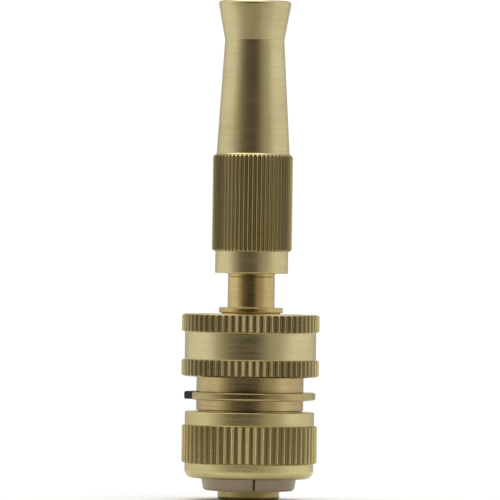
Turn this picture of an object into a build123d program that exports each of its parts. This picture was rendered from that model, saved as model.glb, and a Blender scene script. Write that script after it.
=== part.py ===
from build123d import *
import os
from math import asin, cos, pi, radians, sin, tan

# Brass twist nozzle plugged into a brass quick hose coupler. Millimetres, +Z up, origin at the
# centre of the hose tail's bottom face. Every turned piece is drawn as radius against height.

# ---- fits ----
RUNNING_GAP = 0.08      # radial, between faces that turn or slide on each other
THREAD_GAP = 0.05       # radial, between the plain cylinders that stand for two mating threads
SEAL_GAP = 0.03         # between a seal ring and the face it runs on
FREE_GAP = 0.3          # between pieces of different bodies that don't guide each other
STOP_GAP = 0.2          # left over when a moving piece has reached its stop
SEAT_GAP = 0.02         # between pieces that are assembled tight

# ---- hose tail ----
TAIL_RADIUS = 7.86
TAIL_WALL = 2.26
TAIL_ROUNDING = 0.9
BARB_DEPTH = 0.66
BARB_COUNT = 3
BARB_LAND = 1.0
BARB_RAMP = 2.6
FIRST_LAND = 2.5
TAIL_ROOT_LENGTH = 2.2
TAIL_FLANGE = 1.6
TAIL_FLANGE_REACH = 1.74        # beyond the tail's barbs
SPIGOT_STEP = 0.96              # the spigot is this much thinner than the tail
WASHER_THICKNESS = 1.2
WASHER_STEP = 0.2               # the washer is this much smaller than the flange

# ---- grip collet ----
COLLET_BASE = 2.4
HOSE_WALL = 2.34                # the hose wall that the collet closes on
COLLET_TIP_WALL = 1.3
COLLET_MOUTH_WALL = 1.87
COLLET_LIP_RISE = 0.06
COLLET_TOP_WALL = 2.8
COLLET_TOP_BAND = 3.0           # straight band above the cone
COLLET_SLITS = 4
COLLET_SLIT_WIDTH = 0.6
COLLET_SLIT_TURN = 6.4          # degrees from the front to the first slit
COLLET_HOOP = 2.0
COLLET_RIDGES = 3
COLLET_RIDGE_PITCH = 1.6
COLLET_RIDGE_DEPTH = 0.3

# ---- compression nut ----
NUT_BASE = 5.5
NUT_LOW_BAND = 3.7
NUT_KNURL_LENGTH = 9.9
NUT_HIGH_BAND = 3.3
NUT_LOW_WALL = 3.0
NUT_KNURL_WALL = 3.82
NUT_HIGH_WALL = 3.07
NUT_TEETH = 55
NUT_ROUNDING = 2.0
NUT_LIP = 0.6
NUT_CONE = 3.5

# ---- coupler body ----
HOSE_ROOM = 1.0                 # radial, round the hose's end inside the skirt
NECK_STEP = 0.3                 # the neck stands out this far from the skirt's thread
NECK_LENGTH = 10.7
PASSAGE_STEP = 1.12             # the passage is this much narrower than the tip's bore
PASSAGE_LENGTH = 2.0
SOCKET_WALL = 3.62
SPRING_ROOM = 2.5               # radial, between the socket wall and the neck
RIM_DROP = 0.1                  # socket rim below the sleeve's top face

# ---- snap ring, the sleeve's lower stop ----
SNAP_RING_LIFT = 3.0            # above the nut's top face
SNAP_RING_THICKNESS = 2.0
SNAP_RING_REACH = 3.05          # beyond the neck
SNAP_RING_GROOVE = 0.65
SNAP_RING_ROUNDING = 0.5
SNAP_RING_GAP_START = 180.0
SNAP_RING_GAP_ANGLE = 29.0

# ---- release sleeve ----
SLEEVE_TRAVEL = 3.6
SLEEVE_LOW_KNURL = 4.5
SLEEVE_WAIST = 6.7
SLEEVE_HIGH_KNURL = 4.7
SLEEVE_WALL = 2.98
SLEEVE_KNURL_RISE = 0.79        # the knurls stand out this far from the waist
SLEEVE_TEETH = 60
SLEEVE_CONE_SLOPE = 0.28        # outward per unit of height, so also the pawls' ratio
SLEEVE_LIP = 0.4
SLEEVE_POCKET_WIDTH = 2.1       # outward from the socket wall
SLEEVE_POCKET_DEPTH = 1.5

# ---- sleeve ring, the sleeve's upper stop ----
SLEEVE_RING_THICKNESS = 0.7
SLEEVE_RING_REACH = 1.8         # beyond the socket wall
SLEEVE_RING_GROOVE = 0.8
SLEEVE_RING_GAP_ANGLE = 24.0

# ---- lock pawls ----
PAWL_COUNT = 4
PAWL_TURN = 45.0
PAWL_WIDTH = 5.0
PAWL_HEAD_WIDTH = 7.4           # wider than its slot, so it can't drop into an empty socket
PAWL_HEIGHT = 2.2
PAWL_LIFT = 0.5                 # above the start of the sleeve's cone
PAWL_BITE = 0.9                 # how far a pawl reaches under the nipple's land
PAWL_CHAMFER = 0.8

# ---- release spring ----
SPRING_WIRE = 0.5
SPRING_TURNS = 3.5

# ---- stem and nipple ----
NIPPLE_RADIUS = 7.4
NIPPLE_GROOVE_DEPTH = 1.2
NIPPLE_LAND = 5.0
TIP_STEP = 1.76                 # the tip is this much thinner than the nipple
TIP_LENGTH = 8.0
TIP_WALL = 2.74
STEM_RADIUS = 5.96
FLANGE_REACH = 0.7              # beyond the nipple
FLANGE_THICKNESS = 1.4
STEM_SHOWING = 8.6
MARK_GROOVE = 0.15
MARK_DROP = 0.84                # below the barrel
STEM_THREAD_RUNOUT = 1.0
STEM_BORE_END = 2.8             # solid metal above the bore
NIPPLE_SEAL_WIRE = 0.85
NIPPLE_SEAL_LIFT = 3.9
SHANK_STEP = 1.06               # the shank is this much thinner than the stem
SHANK_LENGTH = 11.0
WATER_HOLE_RADIUS = 1.4
WATER_HOLES = 4
PINTLE_NECK_RADIUS = 2.8
PINTLE_HEAD_RADIUS = 4.6
PINTLE_HEAD_LENGTH = 2.1
PINTLE_NOSE_RADIUS = 3.85
PINTLE_NOSE_LENGTH = 1.5
PINTLE_TIP_RADIUS = 2.0
PINTLE_TAPER = 5.0
PINTLE_SEAL_WIRE = 0.9
PINTLE_SEAL_RADIUS = 4.3

# ---- stop clip ----
CLIP_WIRE = 0.5
CLIP_GROOVE = 0.45
CLIP_GAP_ANGLE = 40.0

# ---- twist barrel ----
BARREL_CLOSING = 3.0            # from the stored spray setting down to shut
BARREL_OPENING = 2.0            # from the stored spray setting up to full jet
COLLAR_LENGTH = 5.6
COLLAR_WALL = 3.3               # outward from the stem
GRIP_LENGTH = 24.8
GRIP_RISE = 0.88                # the grip stands out this far from the collar
GRIP_TEETH = 56
GRIP_LOW_CHAMFER = 0.55
TAPER_LENGTH = 28.8
WAIST_STEP = 1.74               # the waist is this much thinner than the collar
FLARE_LENGTH = 9.9
RIM_WALL = 1.54
RIM_ROUNDING = 0.9
MOUTH_RADIUS = 7.8
MOUTH_ROUNDING = 0.35
THROAT_RADIUS = 4.2
THROAT_LENGTH = 3.0
BELL_DEPTH = 14.5
SEAT_HEIGHT = 3.0
CHAMBER_ROOM = 1.24             # radial, round the stem
BARREL_LIP = 1.2
BARREL_SEAL_WIRE = 0.85
STOP_ROOM = 8.9
CLIP_ROOM = 1.34                # radial, round the stem
BARREL_THREAD = 12.0

# ---- knurls ----
KNURL_FLAT = 0.12               # share of a tooth's pitch left as a flat crest
GRIP_DEPTH = 0.5
RING_DEPTH = 0.72
EDGE = 0.3                      # small turned chamfers

# ---- radii, worked out from the sizes above ----
tail_bore = TAIL_RADIUS - TAIL_WALL
tail_flange_radius = TAIL_RADIUS + TAIL_FLANGE_REACH
spigot_radius = TAIL_RADIUS - SPIGOT_STEP
washer_radius = tail_flange_radius - WASHER_STEP
collet_bore = TAIL_RADIUS + HOSE_WALL
collet_tip_radius = collet_bore + COLLET_TIP_WALL
collet_mouth_radius = collet_bore + COLLET_MOUTH_WALL
collet_top_radius = collet_bore + COLLET_TOP_WALL
skirt_bore = collet_bore + HOSE_ROOM
skirt_radius = collet_top_radius + FREE_GAP
nut_bore = skirt_radius + THREAD_GAP
nut_low_radius = nut_bore + NUT_LOW_WALL
nut_knurl_radius = nut_bore + NUT_KNURL_WALL
nut_high_radius = nut_bore + NUT_HIGH_WALL
tip_radius = NIPPLE_RADIUS - TIP_STEP
stem_bore = tip_radius - TIP_WALL
nipple_groove_radius = NIPPLE_RADIUS - NIPPLE_GROOVE_DEPTH
flange_radius = NIPPLE_RADIUS + FLANGE_REACH
socket_bore = NIPPLE_RADIUS + RUNNING_GAP
tip_bore = tip_radius + RUNNING_GAP
passage_radius = tip_bore - PASSAGE_STEP
socket_wall_radius = socket_bore + SOCKET_WALL
neck_radius = max(skirt_radius + NECK_STEP, socket_wall_radius + SPRING_ROOM)
snap_ring_radius = neck_radius + SNAP_RING_REACH
sleeve_bore = neck_radius + RUNNING_GAP
sleeve_waist_radius = sleeve_bore + SLEEVE_WALL
sleeve_knurl_radius = sleeve_waist_radius + SLEEVE_KNURL_RISE
sleeve_lip_radius = socket_wall_radius + RUNNING_GAP
sleeve_pocket_radius = socket_wall_radius + SLEEVE_POCKET_WIDTH
sleeve_ring_radius = socket_wall_radius + SLEEVE_RING_REACH
shank_radius = STEM_RADIUS - SHANK_STEP
barrel_bore = STEM_RADIUS + RUNNING_GAP
chamber_radius = STEM_RADIUS + CHAMBER_ROOM
stop_room_radius = STEM_RADIUS + CLIP_ROOM
collar_radius = STEM_RADIUS + COLLAR_WALL
grip_radius = collar_radius + GRIP_RISE
waist_radius = collar_radius - WAIST_STEP
rim_radius = MOUTH_RADIUS + RIM_WALL

# ---- heights, worked out from the sizes above ----
first_land_top = TAIL_ROUNDING + FIRST_LAND
barbs_top = first_land_top + BARB_COUNT * (BARB_RAMP + BARB_LAND)
tail_flange_base = barbs_top + TAIL_ROOT_LENGTH
tail_flange_top = tail_flange_base + TAIL_FLANGE
body_floor = tail_flange_top + WASHER_THICKNESS

nut_low_top = NUT_BASE + NUT_LOW_BAND
nut_knurl_top = nut_low_top + NUT_KNURL_LENGTH
nut_top = nut_knurl_top + NUT_HIGH_BAND
cone_base = NUT_BASE + NUT_LIP
cone_top = cone_base + NUT_CONE
collet_top = cone_top + COLLET_TOP_BAND
skirt_base = collet_top + FREE_GAP
neck_base = nut_top + FREE_GAP
neck_top = neck_base + NECK_LENGTH

ring_base = nut_top + SNAP_RING_LIFT
ring_top = ring_base + SNAP_RING_THICKNESS
sleeve_base = ring_top + SLEEVE_TRAVEL + STOP_GAP
sleeve_waist_base = sleeve_base + SLEEVE_LOW_KNURL
sleeve_waist_top = sleeve_waist_base + SLEEVE_WAIST
sleeve_top = sleeve_waist_top + SLEEVE_HIGH_KNURL
pocket_floor = sleeve_top - SLEEVE_POCKET_DEPTH
sleeve_cone_base = pocket_floor - SLEEVE_TRAVEL
sleeve_lip_base = sleeve_cone_base - SLEEVE_LIP
sleeve_ring_base = pocket_floor + STOP_GAP / 2
sleeve_ring_top = sleeve_ring_base + SLEEVE_RING_THICKNESS
body_top = sleeve_top - RIM_DROP

pawl_base = sleeve_cone_base + PAWL_LIFT
pawl_top = pawl_base + PAWL_HEIGHT
nipple_groove_base = pawl_base - FREE_GAP
nipple_groove_top = pawl_top + FREE_GAP
tip_shoulder = nipple_groove_base - NIPPLE_LAND
tip_base = tip_shoulder - TIP_LENGTH
socket_step = tip_shoulder - FREE_GAP
tip_floor = tip_base - FREE_GAP
spigot_seat = tip_floor - PASSAGE_LENGTH
spigot_top = spigot_seat - FREE_GAP
nipple_seal_height = tip_base + NIPPLE_SEAL_LIFT
nipple_seal_radius = tip_bore - SEAL_GAP - NIPPLE_SEAL_WIRE

flange_base = sleeve_top + FREE_GAP
flange_top = flange_base + FLANGE_THICKNESS
barrel_base = flange_top + STEM_SHOWING
collar_top = barrel_base + COLLAR_LENGTH
grip_top = collar_top + GRIP_LENGTH
waist_height = grip_top + TAPER_LENGTH
barrel_top = waist_height + FLARE_LENGTH
barrel_seal_radius = STEM_RADIUS + SEAL_GAP + BARREL_SEAL_WIRE
seal_groove_base = barrel_base + BARREL_LIP
seal_groove_top = seal_groove_base + 2 * BARREL_SEAL_WIRE + 2 * FREE_GAP
barrel_seal_height = (seal_groove_base + seal_groove_top) / 2
seal_groove_radius = barrel_seal_radius + BARREL_SEAL_WIRE + SEAL_GAP
stop_room_base = seal_groove_top + BARREL_LIP
stop_room_top = stop_room_base + STOP_ROOM
barrel_thread_top = stop_room_top + BARREL_THREAD
throat_top = barrel_top - BELL_DEPTH
throat_base = throat_top - THROAT_LENGTH
seat_base = throat_base - SEAT_HEIGHT

clip_base = stop_room_base + BARREL_OPENING + STOP_GAP
clip_height = clip_base + CLIP_WIRE
clip_radius = STEM_RADIUS + CLIP_WIRE - CLIP_GROOVE
stem_thread_top = barrel_thread_top + BARREL_OPENING + STEM_THREAD_RUNOUT
shank_top = stem_thread_top + SHANK_LENGTH
stem_bore_top = shank_top - STEM_BORE_END
water_hole_height = stem_bore_top - WATER_HOLE_RADIUS * 2

# The pintle's seal just touches the conical seat when the barrel is screwed down to shut.
seat_angle = asin((chamber_radius - THROAT_RADIUS)
                  / ((chamber_radius - THROAT_RADIUS) ** 2 + SEAT_HEIGHT ** 2) ** 0.5)
seat_slope = tan(seat_angle)
seat_reach = (PINTLE_SEAL_RADIUS - THROAT_RADIUS) / seat_slope
pintle_seal_height = (throat_base - BARREL_CLOSING - seat_reach
                      - (PINTLE_SEAL_WIRE + SEAL_GAP) / sin(seat_angle))
head_top = pintle_seal_height - PINTLE_SEAL_WIRE - SEAT_GAP
head_base = head_top - PINTLE_HEAD_LENGTH
nose_base = pintle_seal_height + PINTLE_SEAL_WIRE + SEAT_GAP
nose_top = nose_base + PINTLE_NOSE_LENGTH
pintle_top = nose_top + PINTLE_TAPER

os.makedirs("parts", exist_ok=True)


def turned(points):
    """Revolve a closed outline of (radius, height) points about the object's axis."""
    with BuildSketch(Plane.XZ) as outline:
        with BuildLine():
            Polyline(*points, close=True)
        make_face()
    revolve(outline.sketch, axis=Axis.Z)


def rings_at(radius, height):
    """The circular edges of the current part at one radius and height."""
    return [edge for edge in edges().filter_by(GeomType.CIRCLE)
            if abs(edge.radius - radius) < 0.001 and abs(edge.center().Z - height) < 0.001]


def knurl(low, high, radius, depth, teeth):
    """Cut straight V grooves round the current part, between two heights."""
    pitch = 2 * pi * radius / teeth
    half_mouth = pitch * (1 - KNURL_FLAT) / 2
    reach = depth + EDGE
    flare = half_mouth * reach / depth
    with BuildSketch(Plane.XY.offset(low)) as grooves:
        with PolarLocations(radius - depth, teeth):
            Polygon((0, 0), (reach, flare), (reach, -flare), align=None)
    extrude(grooves.sketch, amount=high - low, mode=Mode.SUBTRACT)


def seal_ring(radius, height, wire):
    """Make an O-ring of a wire radius, centred on the axis at a height."""
    with BuildSketch(Plane.XZ) as section:
        with Locations((radius, height)):
            Circle(wire)
    revolve(section.sketch, axis=Axis.Z)


def sector_cut(start, sweep_angle, reach, low, high):
    """Cut a wedge out of the current part, from a start angle anticlockwise."""
    with BuildSketch(Plane.XY.offset(low)) as wedge:
        with BuildLine():
            Line((0, 0), (reach * cos(radians(start)), reach * sin(radians(start))))
            CenterArc((0, 0), reach, start, sweep_angle)
            end = start + sweep_angle
            Line((reach * cos(radians(end)), reach * sin(radians(end))), (0, 0))
        make_face()
    extrude(wedge.sketch, amount=high - low, mode=Mode.SUBTRACT)


def save(piece, name):
    """Label a finished piece and write its STEP file."""
    piece.part.label = name
    export_step(piece.part, f"parts/{name}.step")


# ---- hose tail: barbed spigot, screwed up into the coupler body ----
root_radius = TAIL_RADIUS - BARB_DEPTH
tail_outline = [(tail_bore, 0), (TAIL_RADIUS, 0), (TAIL_RADIUS, first_land_top)]
for barb in range(BARB_COUNT):
    barb_base = first_land_top + barb * (BARB_RAMP + BARB_LAND)
    tail_outline += [(root_radius, barb_base), (TAIL_RADIUS, barb_base + BARB_RAMP),
                     (TAIL_RADIUS, barb_base + BARB_RAMP + BARB_LAND)]
tail_outline += [(root_radius, barbs_top), (root_radius, tail_flange_base),
                 (tail_flange_radius, tail_flange_base), (tail_flange_radius, tail_flange_top),
                 (spigot_radius, tail_flange_top), (spigot_radius, spigot_top),
                 (tail_bore, spigot_top)]
with BuildPart() as hose_tail:
    turned(tail_outline)
    fillet(rings_at(TAIL_RADIUS, 0), TAIL_ROUNDING)
    chamfer(rings_at(tail_bore, 0) + rings_at(spigot_radius, spigot_top), EDGE)
save(hose_tail, "hose_tail")

with BuildPart() as tail_washer:
    washer_bore = spigot_radius + THREAD_GAP
    turned([(washer_bore, tail_flange_top), (washer_radius, tail_flange_top),
            (washer_radius, body_floor), (washer_bore, body_floor)])
save(tail_washer, "tail_washer")

# ---- grip collet: slit cone that the nut closes on the hose ----
collet_cone_radius = collet_mouth_radius + COLLET_LIP_RISE
with BuildPart() as grip_collet:
    turned([(collet_bore, COLLET_BASE), (collet_tip_radius, COLLET_BASE),
            (collet_mouth_radius, NUT_BASE), (collet_cone_radius, cone_base),
            (collet_top_radius, cone_top), (collet_top_radius, collet_top),
            (collet_bore, collet_top)])
    fillet(rings_at(collet_tip_radius, COLLET_BASE), TAIL_ROUNDING)
    for ridge in range(COLLET_RIDGES):
        valley = COLLET_BASE + (ridge + 1) * COLLET_RIDGE_PITCH
        with BuildSketch(Plane.XZ) as valley_section:
            with Locations((collet_bore, valley)):
                Rectangle(2 * COLLET_RIDGE_DEPTH, COLLET_RIDGE_PITCH / 2)
        revolve(valley_section.sketch, axis=Axis.Z, mode=Mode.SUBTRACT)
    slit_length = collet_top - COLLET_HOOP - COLLET_BASE
    with BuildSketch(Plane.XY.offset(COLLET_BASE)) as slits:
        slit_reach = (collet_bore + collet_top_radius) / 2
        with PolarLocations(slit_reach, COLLET_SLITS, start_angle=COLLET_SLIT_TURN - 90):
            Rectangle(collet_top_radius - collet_bore + 2, COLLET_SLIT_WIDTH)
    extrude(slits.sketch, amount=slit_length, mode=Mode.SUBTRACT)
save(grip_collet, "grip_collet")

# ---- compression nut ----
nut_mouth = collet_mouth_radius + FREE_GAP
nut_cone_radius = collet_top_radius + FREE_GAP
nut_step = nut_knurl_radius - RING_DEPTH
with BuildPart() as compression_nut:
    turned([(nut_mouth, NUT_BASE), (nut_low_radius, NUT_BASE), (nut_low_radius, nut_low_top),
            (nut_step, nut_low_top), (nut_knurl_radius, nut_low_top + RING_DEPTH / 2),
            (nut_knurl_radius, nut_knurl_top - RING_DEPTH), (nut_step, nut_knurl_top),
            (nut_high_radius, nut_knurl_top), (nut_high_radius, nut_top), (nut_bore, nut_top),
            (nut_bore, cone_top), (nut_cone_radius, cone_top), (nut_mouth, cone_base)])
    fillet(rings_at(nut_low_radius, NUT_BASE), NUT_ROUNDING)
    fillet(rings_at(nut_high_radius, nut_top), EDGE)
    knurl(nut_low_top, nut_knurl_top, nut_knurl_radius, RING_DEPTH, NUT_TEETH)
save(compression_nut, "compression_nut")

# ---- coupler body: nut thread below, smooth neck, nipple socket above ----
ring_groove_radius = neck_radius - SNAP_RING_GROOVE
sleeve_ring_groove_radius = socket_wall_radius - SLEEVE_RING_GROOVE
relief_radius = skirt_radius - EDGE
relief_base = neck_base - 2 * EDGE
with BuildPart() as coupler_body:
    turned([(skirt_bore, skirt_base), (skirt_radius, skirt_base), (skirt_radius, relief_base),
            (relief_radius, relief_base), (relief_radius, neck_base), (neck_radius, neck_base),
            (neck_radius, ring_base - SEAT_GAP), (ring_groove_radius, ring_base - SEAT_GAP),
            (ring_groove_radius, ring_top + SEAT_GAP), (neck_radius, ring_top + SEAT_GAP),
            (neck_radius, neck_top), (socket_wall_radius, neck_top),
            (socket_wall_radius, sleeve_ring_base - SEAT_GAP),
            (sleeve_ring_groove_radius, sleeve_ring_base - SEAT_GAP),
            (sleeve_ring_groove_radius, sleeve_ring_top + SEAT_GAP),
            (socket_wall_radius, sleeve_ring_top + SEAT_GAP), (socket_wall_radius, body_top),
            (socket_bore, body_top), (socket_bore, socket_step), (tip_bore, socket_step),
            (tip_bore, tip_floor), (passage_radius, tip_floor), (passage_radius, spigot_seat),
            (spigot_radius + THREAD_GAP, spigot_seat), (spigot_radius + THREAD_GAP, body_floor),
            (skirt_bore, body_floor)])
    chamfer(rings_at(socket_bore, body_top) + rings_at(tip_bore, socket_step), EDGE)
    chamfer(rings_at(skirt_radius, skirt_base) + rings_at(neck_radius, neck_base), EDGE)
    with BuildSketch(Plane.XY.offset(pawl_base - RUNNING_GAP)) as pawl_slots:
        slot_middle = (socket_bore + socket_wall_radius) / 2
        with PolarLocations(slot_middle, PAWL_COUNT, start_angle=PAWL_TURN):
            Rectangle(2 * (socket_wall_radius - socket_bore), PAWL_WIDTH + 2 * RUNNING_GAP)
    extrude(pawl_slots.sketch, amount=PAWL_HEIGHT + 2 * RUNNING_GAP, mode=Mode.SUBTRACT)
save(coupler_body, "coupler_body")

# ---- snap ring and sleeve ring: split rings in their grooves ----
with BuildPart() as snap_ring:
    ring_bore = ring_groove_radius + SEAT_GAP
    turned([(ring_bore, ring_base), (snap_ring_radius, ring_base),
            (snap_ring_radius, ring_top), (ring_bore, ring_top)])
    fillet(rings_at(snap_ring_radius, ring_base) + rings_at(snap_ring_radius, ring_top),
           SNAP_RING_ROUNDING)
    sector_cut(SNAP_RING_GAP_START, SNAP_RING_GAP_ANGLE, 2 * snap_ring_radius, ring_base, ring_top)
save(snap_ring, "snap_ring")

with BuildPart() as sleeve_ring:
    ring_bore = sleeve_ring_groove_radius + SEAT_GAP
    turned([(ring_bore, sleeve_ring_base), (sleeve_ring_radius, sleeve_ring_base),
            (sleeve_ring_radius, sleeve_ring_top), (ring_bore, sleeve_ring_top)])
    sector_cut(0, SLEEVE_RING_GAP_ANGLE, 2 * sleeve_ring_radius, sleeve_ring_base, sleeve_ring_top)
save(sleeve_ring, "sleeve_ring")

# ---- release sleeve: slides on the neck, its inner cone holds the pawls in ----
cone_mouth = sleeve_lip_radius + SLEEVE_TRAVEL * SLEEVE_CONE_SLOPE
sleeve_step = sleeve_knurl_radius - RING_DEPTH
with BuildPart() as release_sleeve:
    turned([(sleeve_bore, sleeve_base), (sleeve_step, sleeve_base),
            (sleeve_knurl_radius, sleeve_base + RING_DEPTH / 2),
            (sleeve_knurl_radius, sleeve_waist_base - RING_DEPTH),
            (sleeve_step, sleeve_waist_base), (sleeve_waist_radius, sleeve_waist_base),
            (sleeve_waist_radius, sleeve_waist_top), (sleeve_step, sleeve_waist_top),
            (sleeve_knurl_radius, sleeve_waist_top + RING_DEPTH / 2),
            (sleeve_knurl_radius, sleeve_top - RING_DEPTH), (sleeve_step, sleeve_top),
            (sleeve_pocket_radius, sleeve_top), (sleeve_pocket_radius, pocket_floor),
            (cone_mouth, pocket_floor), (sleeve_lip_radius, sleeve_cone_base),
            (sleeve_lip_radius, sleeve_lip_base), (sleeve_bore, sleeve_lip_base)])
    chamfer(rings_at(sleeve_bore, sleeve_base) + rings_at(sleeve_pocket_radius, sleeve_top), EDGE)
    knurl(sleeve_base, sleeve_waist_base, sleeve_knurl_radius, RING_DEPTH, SLEEVE_TEETH)
    knurl(sleeve_waist_top, sleeve_top, sleeve_knurl_radius, RING_DEPTH, SLEEVE_TEETH)
save(release_sleeve, "release_sleeve")

# ---- lock pawls: blocks in the socket's slots, shut by the sleeve's cone ----
pawl_tip = NIPPLE_RADIUS - PAWL_BITE
pawl_gap = RUNNING_GAP / 2
pawl_back_low = sleeve_lip_radius + PAWL_LIFT * SLEEVE_CONE_SLOPE - pawl_gap
pawl_back_high = pawl_back_low + PAWL_HEIGHT * SLEEVE_CONE_SLOPE
pawl_head_face = socket_wall_radius + pawl_gap
for number in range(PAWL_COUNT):
    with BuildPart() as lock_pawl:
        turned([(pawl_tip, pawl_base), (pawl_back_low, pawl_base), (pawl_back_high, pawl_top),
                (pawl_tip + PAWL_CHAMFER, pawl_top), (pawl_tip, pawl_top - PAWL_CHAMFER)])
        with BuildSketch(Plane.XY.offset(pawl_base)) as pawl_block:
            pawl_turn = PAWL_TURN + number * 360 / PAWL_COUNT
            with PolarLocations(pawl_back_high, 1, start_angle=pawl_turn):
                Rectangle(2 * pawl_back_high, PAWL_WIDTH)
            with PolarLocations(pawl_head_face + PAWL_HEIGHT / 2, 1, start_angle=pawl_turn):
                Rectangle(PAWL_HEIGHT, PAWL_HEAD_WIDTH)
        extrude(pawl_block.sketch, amount=PAWL_HEIGHT, mode=Mode.INTERSECT)
    save(lock_pawl, f"lock_pawl_{number + 1}")

# ---- release spring: stands on the neck's shoulder, pushes up on the sleeve's lip ----
spring_radius = (socket_wall_radius + sleeve_bore) / 2
spring_base = neck_top + SPRING_WIRE + SEAT_GAP
spring_height = sleeve_lip_base - SPRING_WIRE - SEAT_GAP - spring_base
with BuildPart() as release_spring:
    with BuildLine() as coil:
        Helix(pitch=spring_height / SPRING_TURNS, height=spring_height, radius=spring_radius,
              center=(0, 0, spring_base))
    with BuildSketch(Plane(origin=coil.line @ 0, z_dir=coil.line % 0)):
        Circle(SPRING_WIRE)
    sweep(path=coil.line, is_frenet=True)
save(release_spring, "release_spring")

# ---- stem: nipple below, flange, plain shaft, thread, water holes, pintle ----
seal_groove_floor = nipple_seal_radius - NIPPLE_SEAL_WIRE - SEAT_GAP
nipple_groove_half = NIPPLE_SEAL_WIRE + FREE_GAP
clip_floor = STEM_RADIUS - CLIP_GROOVE
pintle_floor = PINTLE_SEAL_RADIUS - PINTLE_SEAL_WIRE - SEAT_GAP
mark_height = barrel_base - MARK_DROP
with BuildPart() as stem:
    turned([(stem_bore, tip_base), (tip_radius, tip_base),
            (tip_radius, nipple_seal_height - nipple_groove_half),
            (seal_groove_floor, nipple_seal_height - nipple_groove_half),
            (seal_groove_floor, nipple_seal_height + nipple_groove_half),
            (tip_radius, nipple_seal_height + nipple_groove_half),
            (tip_radius, tip_shoulder), (NIPPLE_RADIUS, tip_shoulder),
            (NIPPLE_RADIUS, nipple_groove_base), (nipple_groove_radius, nipple_groove_base),
            (nipple_groove_radius, nipple_groove_top), (NIPPLE_RADIUS, nipple_groove_top),
            (NIPPLE_RADIUS, flange_base), (flange_radius, flange_base),
            (flange_radius, flange_top), (STEM_RADIUS, flange_top),
            (STEM_RADIUS, mark_height - MARK_GROOVE), (STEM_RADIUS - MARK_GROOVE, mark_height),
            (STEM_RADIUS, mark_height + MARK_GROOVE), (STEM_RADIUS, clip_base),
            (clip_floor, clip_base), (clip_floor, clip_base + 2 * CLIP_WIRE),
            (STEM_RADIUS, clip_base + 2 * CLIP_WIRE), (STEM_RADIUS, stem_thread_top),
            (shank_radius, stem_thread_top), (shank_radius, shank_top),
            (PINTLE_NECK_RADIUS, shank_top + shank_radius - PINTLE_NECK_RADIUS),
            (PINTLE_NECK_RADIUS, head_base), (PINTLE_HEAD_RADIUS, head_base),
            (PINTLE_HEAD_RADIUS, head_top), (pintle_floor, head_top),
            (pintle_floor, nose_base), (PINTLE_NOSE_RADIUS, nose_base),
            (PINTLE_NOSE_RADIUS, nose_top), (PINTLE_TIP_RADIUS, pintle_top), (0, pintle_top),
            (0, stem_bore_top), (stem_bore, stem_bore_top)])
    chamfer(rings_at(tip_radius, tip_base) + rings_at(NIPPLE_RADIUS, tip_shoulder), EDGE)
    fillet(rings_at(flange_radius, flange_base) + rings_at(flange_radius, flange_top), EDGE)
    fillet(rings_at(PINTLE_TIP_RADIUS, pintle_top), EDGE)
    for hole in range(WATER_HOLES // 2):
        hole_turn = hole * 360 / WATER_HOLES
        hole_plane = Plane.XZ.rotated((0, 0, hole_turn)).move(Location((0, 0, water_hole_height)))
        with BuildSketch(hole_plane):
            Circle(WATER_HOLE_RADIUS)
        extrude(amount=shank_radius + 1, both=True, mode=Mode.SUBTRACT)
save(stem, "stem")

with BuildPart() as nipple_seal:
    seal_ring(nipple_seal_radius, nipple_seal_height, NIPPLE_SEAL_WIRE)
save(nipple_seal, "nipple_seal")

with BuildPart() as pintle_seal:
    seal_ring(PINTLE_SEAL_RADIUS, pintle_seal_height, PINTLE_SEAL_WIRE)
save(pintle_seal, "pintle_seal")

with BuildPart() as stop_clip:
    seal_ring(clip_radius + SEAT_GAP, clip_height, CLIP_WIRE)
    sector_cut(90 - CLIP_GAP_ANGLE / 2, CLIP_GAP_ANGLE, 2 * clip_radius, clip_base,
               clip_base + 2 * CLIP_WIRE)
save(stop_clip, "stop_clip")

# ---- barrel seal: runs on the stem, carried by the barrel ----
with BuildPart() as barrel_seal:
    seal_ring(barrel_seal_radius, barrel_seal_height, BARREL_SEAL_WIRE)
save(barrel_seal, "barrel_seal")

# ---- twist barrel ----
thread_bore = STEM_RADIUS + THREAD_GAP
grip_step = grip_radius - GRIP_LOW_CHAMFER
grip_shoulder = grip_radius - collar_radius
with BuildPart() as barrel:
    turned([(barrel_bore, barrel_base), (collar_radius, barrel_base), (collar_radius, collar_top),
            (grip_step, collar_top), (grip_radius, collar_top + GRIP_LOW_CHAMFER),
            (grip_radius, grip_top - grip_shoulder), (collar_radius, grip_top),
            (waist_radius, waist_height), (rim_radius, barrel_top), (MOUTH_RADIUS, barrel_top),
            (THROAT_RADIUS, throat_top), (THROAT_RADIUS, throat_base), (chamber_radius, seat_base),
            (chamber_radius, barrel_thread_top), (thread_bore, barrel_thread_top),
            (thread_bore, stop_room_top), (stop_room_radius, stop_room_top),
            (stop_room_radius, stop_room_base), (barrel_bore, stop_room_base),
            (barrel_bore, seal_groove_top), (seal_groove_radius, seal_groove_top),
            (seal_groove_radius, seal_groove_base), (barrel_bore, seal_groove_base)])
    fillet(rings_at(rim_radius, barrel_top), RIM_ROUNDING)
    fillet(rings_at(MOUTH_RADIUS, barrel_top), MOUTH_ROUNDING)
    chamfer(rings_at(collar_radius, barrel_base) + rings_at(barrel_bore, barrel_base), EDGE)
    knurl(collar_top, grip_top, grip_radius, GRIP_DEPTH, GRIP_TEETH)
save(barrel, "barrel")

print("total height:", round(barrel_top, 2))
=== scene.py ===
"""Brass twist nozzle in a quick hose coupler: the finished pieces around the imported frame."""

import logging
import math
from dataclasses import dataclass
from enum import Enum
from typing import Any, Iterator, Sequence

import bmesh
import bpy
from mathutils import Matrix, Vector


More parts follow.
